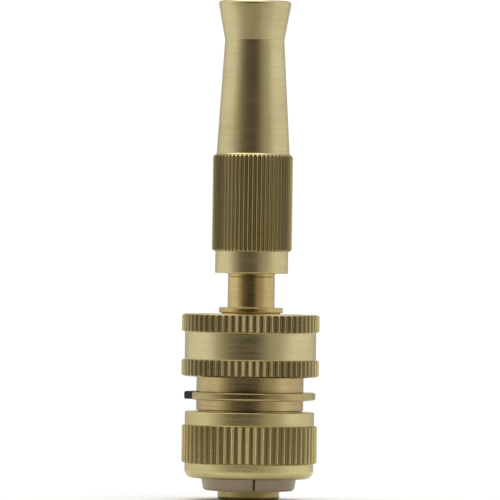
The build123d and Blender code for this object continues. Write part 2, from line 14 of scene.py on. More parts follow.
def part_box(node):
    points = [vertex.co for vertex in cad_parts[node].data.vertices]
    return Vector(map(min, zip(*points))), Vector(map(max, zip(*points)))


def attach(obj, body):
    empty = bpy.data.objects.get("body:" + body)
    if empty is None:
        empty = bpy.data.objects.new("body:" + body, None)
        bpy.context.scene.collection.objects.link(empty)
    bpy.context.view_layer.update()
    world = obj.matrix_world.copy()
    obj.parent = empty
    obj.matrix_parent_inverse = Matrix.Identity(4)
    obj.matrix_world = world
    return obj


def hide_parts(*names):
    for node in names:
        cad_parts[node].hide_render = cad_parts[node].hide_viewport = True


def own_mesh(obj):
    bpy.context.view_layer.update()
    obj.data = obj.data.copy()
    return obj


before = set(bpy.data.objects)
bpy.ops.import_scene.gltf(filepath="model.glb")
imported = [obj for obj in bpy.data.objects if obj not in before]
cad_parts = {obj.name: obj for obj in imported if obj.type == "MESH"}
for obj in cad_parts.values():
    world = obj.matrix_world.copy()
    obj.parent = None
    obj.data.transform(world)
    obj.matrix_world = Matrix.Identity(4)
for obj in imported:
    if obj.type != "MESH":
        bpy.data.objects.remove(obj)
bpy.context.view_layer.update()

MM = 0.001
SEAT_PLAY = 0.02
BROAD_SLOPE = 0.6
BROAD_SHARPNESS = 1.6
log = logging.getLogger("hose_nozzle")


class Part(Enum):
    """The moving bodies of the frame, by the names that it gives them."""

    COUPLER = "coupler"
    STEM = "nozzle_stem"
    GLAND = "barrel_gland"
    BARREL = "twist_barrel"
    SLEEVE = "release_sleeve"
    COLLET = "collet"
    NUT = "nut"


def low(node: str) -> float:
    """Lowest height of a frame node, in millimetres."""
    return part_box(node)[0].z / MM


def high(node: str) -> float:
    """Highest height of a frame node, in millimetres."""
    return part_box(node)[1].z / MM


def middle(node: str) -> float:
    """Height of the middle of a frame node, in millimetres."""
    return (low(node) + high(node)) / 2


# ---------------------------------------------------------------- modelling


@dataclass(frozen=True)
class Corner:
    """A corner of a turned outline: its radius, its height and how far it is rounded."""

    radius: float
    height: float
    rounding: float = 0.0
    steps: int = 4


@dataclass(frozen=True)
class Knurl:
    """A band of straight teeth round a turned piece, bevelled off at both ends.

    The band starts and ends at the teeth's root radius. Its ends slope at low_slope and
    high_slope of height for each unit of radius.
    """

    teeth: int
    root: float
    crest: float
    low: float
    high: float
    low_slope: float = 1.0
    high_slope: float = 1.0
    sharpness: float = 2.0
    columns: int = 12

    def radius_at(self, column: int) -> float:
        """Radius of one column of a tooth, from 0 at the crest round to the next crest.

        Args:
            column: which column of the tooth, counted round the piece.

        Returns:
            The radius, from the crest's down to the root's.
        """
        wave = 0.5 + 0.5 * math.cos(2 * math.pi * column / self.columns)
        return self.root + (self.crest - self.root) * wave ** self.sharpness


def broad_knurl(teeth: int, root: float, crest: float, base: float, top: float,
                bevel: float) -> Knurl:
    """A band of broad teeth whose end bevels go on below the root.

    Args:
        teeth: how many teeth.
        root: radius between the teeth.
        crest: radius on them.
        base: height where the lower bevel starts.
        top: height where the upper bevel ends.
        bevel: how far below the root the bevels go.

    Returns:
        The band.
    """
    rise = bevel * BROAD_SLOPE
    return Knurl(teeth, root, crest, base + rise, top - rise, BROAD_SLOPE, BROAD_SLOPE,
                 BROAD_SHARPNESS)


def notch(radius: float, floor: float, start: float, end: float,
          rounding: float = 0.0) -> list[Corner]:
    """Corners of a square groove round a piece.

    Args:
        radius: radius of the face that it is cut in.
        floor: radius of its floor.
        start: height where the outline goes in.
        end: height where the outline comes out.
        rounding: rounding of its two outer edges.

    Returns:
        Its four corners, in order.
    """
    return [Corner(radius, start, rounding, 2), Corner(floor, start), Corner(floor, end),
            Corner(radius, end, rounding, 2)]


def deselect() -> None:
    """Leave edit mode and clear the selection, so that an operator acts on nothing old."""
    if bpy.context.object and bpy.context.object.mode != "OBJECT":
        bpy.ops.object.mode_set(mode="OBJECT")
    bpy.ops.object.select_all(action="DESELECT")


def activate(piece: bpy.types.Object) -> None:
    """Make one piece the only selected and active one."""
    deselect()
    piece.select_set(True)
    bpy.context.view_layer.objects.active = piece


def named(piece: bpy.types.Object, name: str) -> bpy.types.Object:
    """Give a piece and its mesh one name, and return the piece."""
    piece.name = name
    piece.data.name = name
    return piece


def modify(piece: bpy.types.Object, kind: str, **settings: Any) -> None:
    """Put a modifier on the active piece, set it up and apply it."""
    modifier = piece.modifiers.new(kind.lower(), kind)
    for name, value in settings.items():
        setattr(modifier, name, value)
    bpy.ops.object.modifier_apply(modifier=modifier.name)


def edit_whole() -> None:
    """Go into edit mode with the whole active mesh selected."""
    bpy.ops.object.mode_set(mode="EDIT")
    bpy.ops.mesh.select_all(action="SELECT")


def enlarge(piece: bpy.types.Object, factor: float) -> None:
    """Scale a piece about the origin and apply the scale."""
    activate(piece)
    piece.scale = (factor, factor, factor)
    bpy.ops.object.transform_apply(location=False, rotation=False, scale=True)


def tidy_shell(piece: bpy.types.Object, angle: float = 32.0) -> bpy.types.Object:
    """Merge doubles, turn the faces outwards and smooth the faces that meet gently.

    Args:
        piece: the closed shell to finish.
        angle: the largest angle between faces that are still shaded as one surface.

    Returns:
        The same piece.
    """
    activate(piece)
    edit_whole()
    bpy.ops.mesh.remove_doubles(threshold=0.0008 * MM)
    bpy.ops.mesh.normals_make_consistent(inside=False)
    bpy.ops.object.mode_set(mode="OBJECT")
    bpy.ops.object.shade_smooth_by_angle(angle=math.radians(angle))
    # the modifier takes faces of less than a hundredth of a unit as equal, so it works enlarged
    enlarge(piece, 1 / MM)
    modify(piece, "WEIGHTED_NORMAL", keep_sharp=True, weight=60, thresh=0.001)
    enlarge(piece, MM)
    return piece


def rounded(before: tuple[float, float], corner: Corner,
            after: tuple[float, float]) -> Iterator[tuple[float, float]]:
    """Points of one corner: itself, or the arc that rounds it.

    Args:
        before: the outline's point before the corner, as radius and height.
        corner: the corner.
        after: the point after it.

    Yields:
        Points as radius and height.
    """
    here = Vector((corner.radius, corner.height))
    arrive, leave = here - Vector(before), Vector(after) - here
    if corner.rounding <= 0 or arrive.length < 1e-6 or leave.length < 1e-6:
        yield corner.radius, corner.height
        return
    arrive.normalize()
    leave.normalize()
    turn = arrive.angle_signed(leave)
    reach = corner.rounding * math.tan(abs(turn) / 2)
    side = Vector((-arrive.y, arrive.x)) * (-1 if turn > 0 else 1)
    centre = here - arrive * reach + side * corner.rounding
    for step in range(corner.steps + 1):
        spoke = -side * corner.rounding
        angle = -turn * step / corner.steps
        yield (centre.x + spoke.x * math.cos(angle) - spoke.y * math.sin(angle),
               centre.y + spoke.x * math.sin(angle) + spoke.y * math.cos(angle))


class Lathe:
    """Turns a piece: a ring is drawn out along the outline, one extrusion for each point."""

    def __init__(self, name: str, segments: int) -> None:
        """Set up a lathe.

        Args:
            name: the finished piece's name.
            segments: how many faces go round it.
        """
        self.name = name
        self.segments = segments
        self.radius = 0.0
        self.height = 0.0
        self.piece: bpy.types.Object | None = None

    def _start(self, radius: float, height: float) -> None:
        """Add the first ring and go into edit mode with it selected."""
        deselect()
        bpy.ops.mesh.primitive_circle_add(vertices=self.segments, radius=radius * MM,
                                          location=(0, 0, height * MM))
        bpy.ops.object.transform_apply(location=True)
        self.piece = named(bpy.context.object, self.name)
        self.radius, self.height = radius, height
        bpy.ops.object.mode_set(mode="EDIT")
        bpy.ops.mesh.select_mode(type="VERT")
        bpy.ops.mesh.select_all(action="SELECT")

    def _to(self, radius: float, height: float) -> None:
        """Draw the selected ring out to a new radius and height."""
        bpy.ops.mesh.extrude_region()
        self._shift(radius / self.radius, height - self.height)
        self.radius, self.height = radius, height

    @staticmethod
    def _shift(factor: float, rise: float) -> None:
        """Scale what is selected about the axis, and lift it."""
        bpy.ops.transform.resize(value=(factor, factor, 1), center_override=(0, 0, 0))
        bpy.ops.transform.translate(value=(0, 0, rise * MM))

    def _columns(self, knurl: Knurl) -> dict[int, list[int]]:
        """Sort the selected ring's vertices by their column of a tooth.

        Args:
            knurl: the band that is being made.

        Returns:
            The vertices' numbers, by how many columns they are from a crest.
        """
        shape = bmesh.from_edit_mesh(self.piece.data)
        step = 2 * math.pi / self.segments
        found: dict[int, list[int]] = {}
        for vertex in (v for v in shape.verts if v.select):
            column = round(math.atan2(vertex.co.y, vertex.co.x) / step) % knurl.columns
            found.setdefault(min(column, knurl.columns - column), []).append(vertex.index)
        return found

    def _select(self, numbers: Sequence[int]) -> None:
        """Select these vertices, and nothing else."""
        bpy.ops.mesh.select_all(action="DESELECT")
        shape = bmesh.from_edit_mesh(self.piece.data)
        shape.verts.ensure_lookup_table()
        for number in numbers:
            shape.verts[number].select = True
        shape.select_flush(True)
        bmesh.update_edit_mesh(self.piece.data)

    def _knurl(self, knurl: Knurl) -> None:
        """Draw the selected root ring out into a band of teeth, and end on its top root ring."""
        for row in range(3):
            bpy.ops.mesh.extrude_region()
            columns = self._columns(knurl)
            for column, numbers in columns.items():
                radius = knurl.radius_at(column)
                lift = (radius - knurl.root) * knurl.low_slope
                drop = (radius - knurl.root) * knurl.high_slope
                factor, rise = (
                    (radius / knurl.root, lift),
                    (1.0, knurl.high - knurl.low - lift - drop),
                    (knurl.root / radius, drop),
                )[row]
                self._select(numbers)
                self._shift(factor, rise)
            self._select([n for numbers in columns.values() for n in numbers])
        self.radius, self.height = knurl.root, knurl.high

    def _cap(self) -> None:
        """Close the selected ring with a fan of faces."""
        bpy.ops.mesh.edge_face_add()
        bpy.ops.mesh.poke()

    def turn(self, outline: Sequence[Corner | Knurl], closed: bool = True) -> bpy.types.Object:
        """Turn the whole outline.

        Args:
            outline: corners and knurled bands, in order; the first is a corner.
            closed: True to come back to the first corner, False to cap both ends.

        Returns:
            The finished piece.
        """
        ends = [(c.radius, c.height, c.radius, c.height) if isinstance(c, Corner)
                else (c.root, c.low, c.root, c.high) for c in outline]
        count = len(outline)
        for index, item in enumerate(outline):
            if isinstance(item, Knurl):
                self._to(item.root, item.low)
                self._knurl(item)
                continue
            open_end = not closed and index in (0, count - 1)
            before = (item.radius, item.height) if open_end else ends[index - 1][2:]
            after = (item.radius, item.height) if open_end else ends[(index + 1) % count][:2]
            for radius, height in rounded(before, item, after):
                if self.piece is None:
                    self._start(radius, height)
                    first = radius, height
                else:
                    self._to(radius, height)
        if closed:
            self._to(*first)
        else:
            self._cap()
            self._select(range(self.segments))
            self._cap()
        return tidy_shell(self.piece)


def split_ring(name: str, inner: float, outer: float, base: float, thickness: float,
               rounding: float, gap_start: float, gap: float) -> bpy.types.Object:
    """Spin a section round the axis, short of a full turn, as an open ring.

    Args:
        name: the piece's name.
        inner: inner radius.
        outer: outer radius.
        base: height of its lower face.
        thickness: height of the section.
        rounding: rounding of the section's edges.
        gap_start: angle where the gap starts, in degrees anticlockwise from +X.
        gap: the gap's angle.

    Returns:
        The ring.
    """
    deselect()
    bpy.ops.mesh.primitive_plane_add(
        size=MM, location=((inner + outer) / 2 * MM, 0, (base + thickness / 2) * MM),
        rotation=(math.pi / 2, 0, 0))
    ring = named(bpy.context.object, name)
    ring.scale = (outer - inner, thickness, 1)
    bpy.ops.object.transform_apply(location=True, rotation=True, scale=True)
    edit_whole()
    bpy.ops.mesh.bevel(offset=rounding * MM, segments=5, affect="VERTICES")
    bpy.ops.mesh.select_all(action="SELECT")
    bpy.ops.mesh.spin(steps=144, angle=math.radians(360 - gap), center=(0, 0, 0),
                      axis=(0, 0, 1))
    bpy.ops.mesh.select_all(action="SELECT")
    centre_angle = ring_middle(ring)
    wanted = math.radians(gap_start + gap / 2 + 180)
    bpy.ops.object.mode_set(mode="OBJECT")
    ring.rotation_euler = (0, 0, wanted - centre_angle)
    bpy.ops.object.transform_apply(rotation=True)
    return tidy_shell(ring, 40)


def ring_middle(ring: bpy.types.Object) -> float:
    """Angle of the middle of an open ring that is being edited, in radians."""
    shape = bmesh.from_edit_mesh(ring.data)
    total = sum((v.co.copy() for v in shape.verts), Vector())
    return math.atan2(total.y, total.x)


def cut(piece: bpy.types.Object, cutter: bpy.types.Object) -> None:
    """Take one shape out of another, and remove the cutter."""
    activate(piece)
    modify(piece, "BOOLEAN", operation="DIFFERENCE", solver="EXACT", object=cutter)
    bpy.data.objects.remove(cutter)


def spokes(count: int, first: float, reach: tuple[float, float], width: float,
           heights: tuple[float, float]) -> bpy.types.Object:
    """Blocks that stand round the axis like spokes, as one cutter.

    Args:
        count: how many blocks.
        first: angle of the first one, in degrees anticlockwise from +X.
        reach: radii where a block starts and ends.
        width: width of a block.
        heights: lowest and highest height.

    Returns:
        The cutter.
    """
    deselect()
    bpy.ops.mesh.primitive_cube_add(
        size=MM, location=(sum(reach) / 2 * MM, 0, sum(heights) / 2 * MM))
    cutter = named(bpy.context.object, "cutter")
    cutter.scale = (reach[1] - reach[0], width, heights[1] - heights[0])
    bpy.ops.object.transform_apply(location=True, scale=True)
    cutter.rotation_euler = (0, 0, math.radians(first))
    bpy.ops.object.transform_apply(rotation=True)
    edit_whole()
    bpy.ops.mesh.spin(steps=count, dupli=True, angle=2 * math.pi, center=(0, 0, 0),
                      axis=(0, 0, 1))
    bpy.ops.mesh.select_all(action="SELECT")
    bpy.ops.mesh.remove_doubles(threshold=0.001 * MM)
    bpy.ops.object.mode_set(mode="OBJECT")
    return cutter


def soften(piece: bpy.types.Object, width: float, angle: float = 50.0) -> None:
    """Break a piece's sharp edges with an applied bevel.

    Args:
        piece: the piece.
        width: the bevel's width, in millimetres.
        angle: edges sharper than this many degrees are bevelled.
    """
    activate(piece)
    modify(piece, "BEVEL", width=width * MM, segments=2, limit_method="ANGLE",
           angle_limit=math.radians(angle))
    tidy_shell(piece, 40)


def seal_ring(name: str, radius: float, height: float, wire: float) -> bpy.types.Object:
    """Turn an O-ring, with the fine flash line that its mould leaves round the outside.

    Args:
        name: the piece's name.
        radius: radius of the ring's centre line.
        height: its height.
        wire: radius of its section.

    Returns:
        The ring.
    """
    flash = 0.03
    facets = 20
    outline = []
    for step in range(facets):
        angle = 2 * math.pi * step / facets
        bulge = flash if step == 0 else 0.0
        outline.append(Corner(radius + (wire - flash + bulge) * math.cos(angle),
                              height + (wire - flash) * math.sin(angle)))
    return Lathe(name, 96).turn(outline)


# ---------------------------------------------------------------- materials


@dataclass(frozen=True)
class Signal:
    """A number that varies over a surface: an output socket, with arithmetic."""

    tree: bpy.types.NodeTree
    socket: bpy.types.NodeSocket

    def _math(self, operation: str, first: Any, second: Any) -> "Signal":
        """Add a Math node on two numbers or signals."""
        node = self.tree.nodes.new("ShaderNodeMath")
        node.operation = operation
        for slot, value in zip(node.inputs, (first, second)):
            if isinstance(value, Signal):
                self.tree.links.new(value.socket, slot)
            else:
                slot.default_value = value
        return Signal(self.tree, node.outputs[0])

    def __add__(self, other: Any) -> "Signal":
        """This plus other."""
        return self._math("ADD", self, other)

    __radd__ = __add__

    def __sub__(self, other: Any) -> "Signal":
        """This minus other."""
        return self._math("SUBTRACT", self, other)

    def __rsub__(self, other: Any) -> "Signal":
        """Other minus this."""
        return self._math("SUBTRACT", other, self)

    def __mul__(self, other: Any) -> "Signal":
        """This times other."""
        return self._math("MULTIPLY", self, other)

    __rmul__ = __mul__

    def __truediv__(self, other: Any) -> "Signal":
        """This divided by other."""
        return self._math("DIVIDE", self, other)

    def __pow__(self, other: Any) -> "Signal":
        """This to the power of other."""
        return self._math("POWER", self, other)

    def absolute(self) -> "Signal":
        """This without its sign."""
        return self._math("ABSOLUTE", self, 0.0)

    def angle_from(self, other: "Signal") -> "Signal":
        """The angle whose tangent is this over other, all the way round, in radians."""
        return self._math("ARCTAN2", self, other)


class Graph:
    """A material's or the world's nodes, added one by one."""

    def __init__(self, tree: bpy.types.NodeTree) -> None:
        """Take over a node tree, and empty it."""
        self.tree = tree
        tree.nodes.clear()

    def node(self, kind: str, settings: dict[str, Any] | None = None,
             **inputs: Any) -> bpy.types.Node:
        """Add any node.

        Args:
            kind: the node's type, without the word ShaderNode.
            settings: its own settings, set before its sockets.
            **inputs: values or links of its sockets; an underscore stands for a space.

        Returns:
            The node.
        """
        made = self.tree.nodes.new("ShaderNode" + kind)
        for key, value in (settings or {}).items():
            if key == "stops":
                self._stops(made.color_ramp, value)
            else:
                setattr(made, key, value)
        for key, value in inputs.items():
            slot = self._slot(made, key.replace("_", " "))
            if isinstance(value, Signal):
                self.tree.links.new(value.socket, slot)
            elif isinstance(value, bpy.types.NodeSocket):
                self.tree.links.new(value, slot)
            else:
                slot.default_value = value
        return made

    @staticmethod
    def _slot(made: bpy.types.Node, name: str) -> bpy.types.NodeSocket:
        """The enabled input socket of that name."""
        return next(s for s in made.inputs if s.name == name and s.enabled)

    @staticmethod
    def _stops(ramp: bpy.types.ColorRamp, stops: Sequence[tuple[float, float]]) -> None:
        """Set a ramp's stops from places and grey levels."""
        while len(ramp.elements) < len(stops):
            ramp.elements.new(1.0)
        for element, (place, level) in zip(ramp.elements, stops):
            element.position = place
            element.color = (level, level, level, 1)

    def signal(self, kind: str, output: str | int = 0, settings: dict[str, Any] | None = None,
               **inputs: Any) -> Signal:
        """Add a node and take one of its outputs as a number."""
        return Signal(self.tree, self.node(kind, settings, **inputs).outputs[output])

    def place(self) -> tuple[Signal, Signal, Signal, bpy.types.NodeSocket]:
        """The object's own coordinates in metres: x, y, z, and all three as a vector."""
        where = self.node("TexCoord").outputs["Object"]
        split = self.node("SeparateXYZ", Vector=where)
        x, y, z = (Signal(self.tree, s) for s in split.outputs)
        return x, y, z, where

    def step(self, value: Signal, start: float, end: float) -> Signal:
        """A smooth step from 0 at start to 1 at end."""
        return self.signal("MapRange", settings={"interpolation_type": "SMOOTHSTEP"},
                           Value=value, From_Min=start, From_Max=end, To_Min=0.0, To_Max=1.0)

    def noise(self, where: bpy.types.NodeSocket, stretch: tuple[float, float, float],
              detail: float = 3.0, shift: float = 0.0) -> Signal:
        """Cloudy noise from 0 to 1, stretched by so many waves to the metre each way."""
        moved = self.node("Mapping", Vector=where, Scale=stretch,
                          Location=(shift, shift, shift)).outputs[0]
        return self.signal("TexNoise", settings={"noise_dimensions": "3D"}, Vector=moved,
                           Scale=1.0, Detail=detail, Roughness=0.6)

    def lines(self, along: Signal, per_mm: float, detail: float = 2.0) -> Signal:
        """Noise along one distance, which turning leaves as rings."""
        return self.signal("TexNoise", settings={"noise_dimensions": "1D"},
                           W=along * (per_mm / MM), Scale=1.0, Detail=detail, Roughness=0.65)

    def mix(self, factor: Signal | float, first: Any, second: Any) -> bpy.types.NodeSocket:
        """Blend two colours by a factor."""
        blend = self.node("Mix", {"data_type": "RGBA"}, Factor=factor, A=first, B=second)
        return next(s for s in blend.outputs if s.enabled)

    def surface(self, colour: bpy.types.NodeSocket, metallic: float, rough: Signal,
                relief: Signal, depth: float) -> None:
        """Finish a material.

        Args:
            colour: its colour.
            metallic: 1 for bare metal, 0 for anything else.
            rough: its roughness.
            relief: its fine relief, from 0 to 1.
            depth: how deep the relief is, in millimetres.
        """
        bump = self.node("Bump", Strength=1.0, Distance=depth * MM, Height=relief)
        shader = self.node("BsdfPrincipled", Base_Color=colour, Metallic=metallic,
                           Roughness=rough, Normal=bump.outputs[0])
        self.node("OutputMaterial", Surface=shader.outputs[0])


def blank_material(name: str) -> tuple[bpy.types.Material, Graph]:
    """A new material, and its node tree emptied."""
    made = bpy.data.materials.new(name)
    made.use_nodes = True
    return made, Graph(made.node_tree)


def rgb(red: float, green: float, blue: float) -> tuple[float, float, float, float]:
    """An opaque colour in linear light."""
    return red, green, blue, 1.0


@dataclass(frozen=True)
class TurnedBrass:
    """Bare turned brass: lathe rings, a cloudy film, fine scratches, and painted shade in the
    knurls' grooves.

    marks is the depth of the lathe rings in millimetres, and rings how many there are to a
    millimetre. root and crest are the radii between which the painted shade in a knurl's
    grooves fades out, and the field after crest sets how dark that painted shade is, up to 1.
    """

    name: str
    roughness: float = 0.27
    marks: float = 0.006
    rings: float = 2.2
    root: float = 0.0
    crest: float = 0.0
    # strength of the painted shade in the knurls' grooves, up to 1
    groove_shading: float = 0.85
    bright: tuple[float, float, float, float] = rgb(0.60, 0.525, 0.285)
    film: tuple[float, float, float, float] = rgb(0.50, 0.425, 0.215)
    # colour of the fine scratches, and also of the painted shade in the knurls' grooves
    dirt_and_shade: tuple[float, float, float, float] = rgb(0.20, 0.145, 0.055)

    def material(self) -> bpy.types.Material:
        """Make the material."""
        made, graph = blank_material(self.name)
        x, y, z, where = graph.place()
        radius = (x * x + y * y) ** 0.5
        along = z + radius * 0.8
        cloud = graph.step(graph.noise(where, (90, 90, 70), shift=3.1), 0.35, 0.7)
        streak = graph.step(graph.noise(where, (70, 70, 1500), 4, shift=7.7), 0.42, 0.72)
        scratch = graph.step(graph.noise(where, (45, 45, 2600), 2, shift=1.3), 0.66, 0.74)
        colour = graph.mix(cloud * 0.55 + streak * 0.35, self.bright, self.film)
        colour = graph.mix(scratch * 0.3, colour, self.dirt_and_shade)
        rough = self.roughness + cloud * 0.05 + streak * 0.07 + scratch * 0.1
        fine = graph.lines(along, self.rings)
        coarse = graph.lines(along + 0.5, self.rings * 0.27)
        relief = fine * 0.6 + coarse * 0.8 - scratch * 0.5
        if self.crest:
            # painted shade: the knurls' grooves are coloured darker towards their roots, fading
            # out towards the crests
            toward_crest = graph.step(radius, self.root * MM, self.crest * MM)
            knurled = graph.step(radius, (self.root - 0.05) * MM, (self.root + 0.01) * MM)
            shaded_groove = (1 - toward_crest) * knurled
            colour = graph.mix(shaded_groove * self.groove_shading, colour, self.dirt_and_shade)
            rough = rough + shaded_groove * 0.1
            relief = relief * (1 - knurled)
        graph.surface(colour, 1.0, rough, relief, self.marks)
        return made


@dataclass(frozen=True)
class DrawnSteel:
    """Spring steel wire or strip, bare or thinly plated.

    cut_ends are the angles of an open ring's two ends, where the plating doesn't cover the
    cut faces.
    """

    name: str
    plating: tuple[float, float, float, float] = rgb(0.42, 0.42, 0.41)
    bare: tuple[float, float, float, float] = rgb(0.12, 0.14, 0.13)
    roughness: float = 0.28
    grain: float = 0.004
    cut_ends: tuple[float, ...] = ()

    def material(self) -> bpy.types.Material:
        """Make the material."""
        made, graph = blank_material(self.name)
        x, y, _, where = graph.place()
        wear = graph.step(graph.noise(where, (160, 160, 900), 4), 0.5, 0.72)
        colour = graph.mix(wear * 0.35, self.plating, self.bare)
        rough = wear * 0.15 + self.roughness
        for end in self.cut_ends:
            turn = math.radians(end)
            across = (y * math.cos(turn) - x * math.sin(turn)).absolute()
            along = x * math.cos(turn) + y * math.sin(turn)
            face = (1 - graph.step(across, 0.00002, 0.00006)) * graph.step(along, 0.0, 0.001)
            colour = graph.mix(face, colour, self.bare)
            rough = rough + face * 0.15
        grain = graph.noise(where, (300, 300, 2600), 2, shift=4.0)
        graph.surface(colour, 1.0, rough, grain, self.grain)
        return made


@dataclass(frozen=True)
class DullMoulding:
    """Dull plastic or rubber: soft mottling, moulding grain and a little dust."""

    name: str
    colour: tuple[float, float, float, float]
    dusty: tuple[float, float, float, float]
    roughness: float = 0.5
    grain: float = 0.012

    def material(self) -> bpy.types.Material:
        """Make the material."""
        made, graph = blank_material(self.name)
        _, _, _, where = graph.place()
        mottle = graph.step(graph.noise(where, (130, 130, 60), 4), 0.35, 0.7)
        dust = graph.step(graph.noise(where, (700, 700, 700), 3, shift=2.0), 0.55, 0.75)
        colour = graph.mix(mottle * 0.5 + dust * 0.3, self.colour, self.dusty)
        grain = graph.noise(where, (2400, 2400, 2400), 2, shift=6.0)
        graph.surface(colour, 0.0, self.roughness + dust * 0.12, grain, self.grain)
        return made


def dress(piece: bpy.types.Object, finish: TurnedBrass | DrawnSteel | DullMoulding,
          body: Part, node: str) -> None:
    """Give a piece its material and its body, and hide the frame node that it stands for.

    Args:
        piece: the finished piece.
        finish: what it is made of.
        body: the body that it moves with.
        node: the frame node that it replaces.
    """
    piece.data.materials.clear()
    piece.data.materials.append(finish.material())
    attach(piece, body.value)
    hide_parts(node)
    log.info("%s: %d faces, rides on %s", piece.name, len(piece.data.polygons), body.value)


SPRING_STEEL = DrawnSteel("spring_steel")
SEAL_RUBBER = DullMoulding("seal_rubber", rgb(0.016, 0.016, 0.017), rgb(0.045, 0.044, 0.042),
                           roughness=0.42, grain=0.004)


# ---------------------------------------------------------------- sub-assemblies


@dataclass
class TwistBarrel:
    """The barrel with its knurled grip, long taper and flared mouth, and the seal inside it."""

    collar_radius: float = 9.26
    collar_length: float = 5.6
    grip_length: float = 24.8
    grip_teeth: int = 56
    grip_root: float = 9.62
    grip_crest: float = 10.14
    taper_length: float = 28.8
    waist_radius: float = 7.52
    rim_radius: float = 9.34
    mouth_radius: float = 7.8
    throat_radius: float = 4.2
    throat_length: float = 3.0
    bell_depth: float = 14.5
    seat_height: float = 3.0
    chamber_radius: float = 7.2
    bore: float = 6.04
    thread_bore: float = 6.01
    thread_length: float = 12.0
    stop_room_length: float = 8.9
    stop_room_radius: float = 7.3
    lip: float = 1.2
    groove_length: float = 2.3
    groove_radius: float = 7.72
    seal_radius: float = 6.84
    seal_wire: float = 0.85

    def barrel(self) -> bpy.types.Object:
        """Turn the barrel, outside and inside."""
        base, top = low("barrel"), high("barrel")
        collar_top = base + self.collar_length
        grip_top = collar_top + self.grip_length
        groove = base + self.lip
        groove_top = groove + self.groove_length
        room = groove_top + self.lip
        thread = room + self.stop_room_length
        chamber = thread + self.thread_length
        throat_top = top - self.bell_depth
        throat = throat_top - self.throat_length
        teeth = Knurl(self.grip_teeth, self.grip_root, self.grip_crest, collar_top,
                      grip_top - (self.grip_root - self.collar_radius))
        return Lathe("turned_barrel", teeth.teeth * teeth.columns).turn([
            Corner(self.bore, room),
            *notch(self.bore, self.groove_radius, groove_top, groove),
            Corner(self.bore, base, 0.25),
            Corner(self.collar_radius, base, 0.3),
            Corner(self.collar_radius, collar_top - SEAT_PLAY, 0.05, 2),
            teeth,
            Corner(self.collar_radius, grip_top, 0.1, 2),
            Corner(self.waist_radius, grip_top + self.taper_length, 0.5, 3),
            Corner(self.rim_radius, top, 0.8, 7),
            Corner(self.mouth_radius, top, 0.35),
            Corner(self.throat_radius, throat_top, 1.0),
            Corner(self.throat_radius, throat, 0.2),
            Corner(self.chamber_radius, throat - self.seat_height),
            Corner(self.chamber_radius, chamber),
            Corner(self.thread_bore, chamber),
            Corner(self.thread_bore, thread),
            Corner(self.stop_room_radius, thread),
            Corner(self.stop_room_radius, room)])

    def dress(self) -> None:
        """Build and finish the barrel and its seal."""
        brass = TurnedBrass("barrel_brass", root=self.grip_root, crest=self.grip_crest - 0.12,
                            groove_shading=0.6)
        dress(self.barrel(), brass, Part.BARREL, "barrel")
        ring = seal_ring("barrel_o_ring", self.seal_radius, middle("barrel_seal"), self.seal_wire)
        dress(ring, SEAL_RUBBER, Part.GLAND, "barrel_seal")


